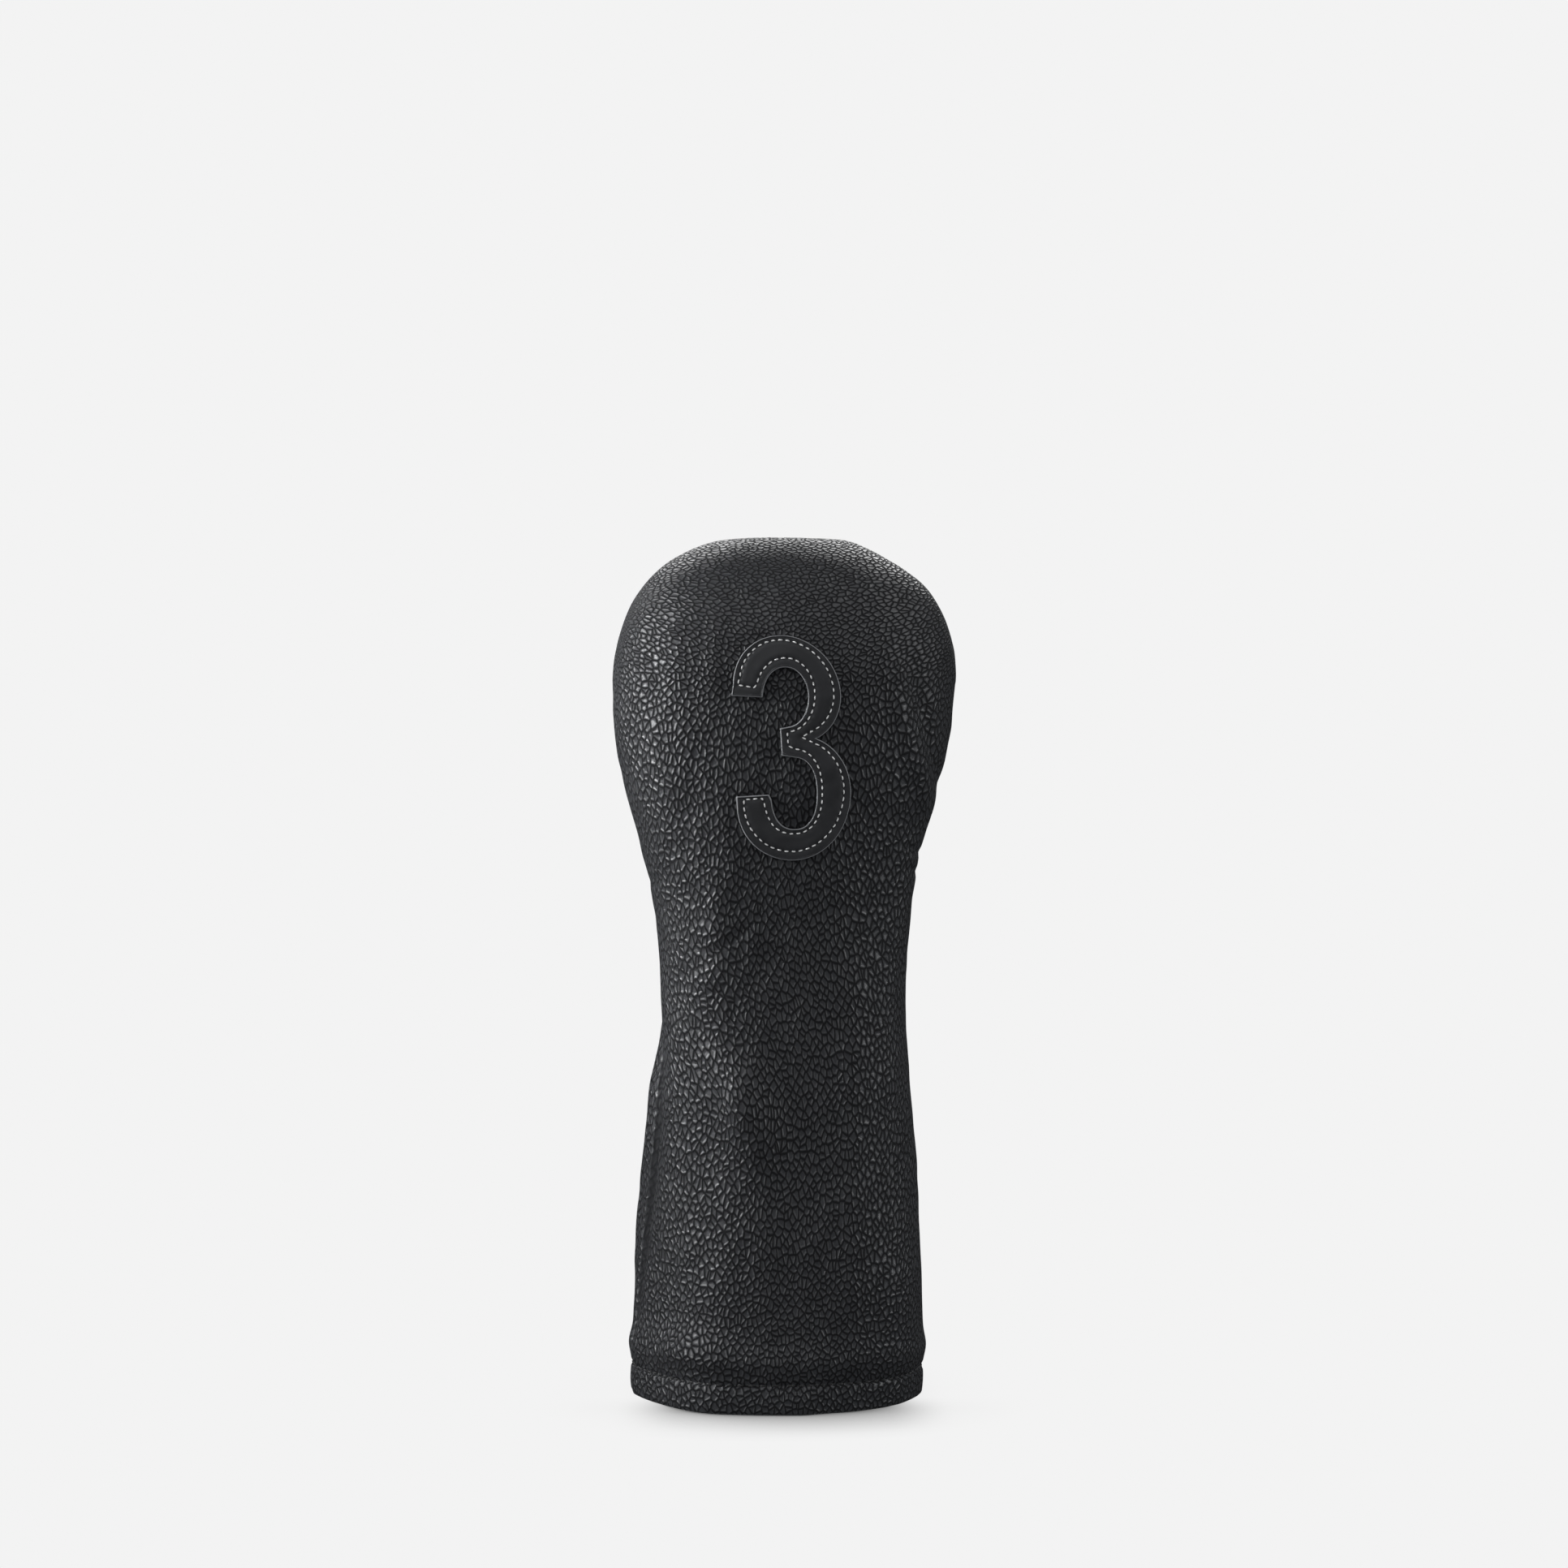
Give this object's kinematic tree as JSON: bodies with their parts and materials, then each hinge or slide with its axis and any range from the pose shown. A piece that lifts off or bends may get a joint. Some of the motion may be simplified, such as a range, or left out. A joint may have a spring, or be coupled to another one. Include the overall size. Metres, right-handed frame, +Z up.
{
  "type": "fairway wood head cover",
  "caption": "Padded leather sock that slips over a fairway wood's head; waisted neck with elastic behind, open stitched hem below, numeral patch on the front.",
  "frame": {"origin": "middle of the hem's lower edge, on the surface that it stands on", "axes": "+Z up along the sock from the open hem to the closed crown, -Y the numbered front, +X to the right as seen from the front"},
  "size_m": [0.122, 0.0942, 0.305],
  "materials": {
    "grained_leather": "pebbled full grain, semi-gloss black",
    "grained_leather_back": "pebbled full grain, semi-gloss black",
    "foam": "open foam sheet",
    "fleece": "short-pile black fleece",
    "elastic": "woven covered elastic",
    "casing": "black herringbone tape",
    "smooth_leather": "smooth matte black with painted edge",
    "grey_thread": "grey bonded polyester thread",
    "black_thread": "black bonded polyester thread"
  },
  "bodies": {
    "root": {"front_panel": "grained_leather", "back_panel": "grained_leather_back", "front_padding": "foam", "back_padding": "foam", "front_lining": "fleece", "back_lining": "fleece", "neck_elastic": "elastic", "elastic_casing": "casing", "number_patch": "smooth_leather", "number_thread": "grey_thread", "hem_thread": "black_thread", "panel_seam_thread": "black_thread", "lining_seam_thread": "black_thread", "elastic_thread": "black_thread"}
  },
  "joints": []
}
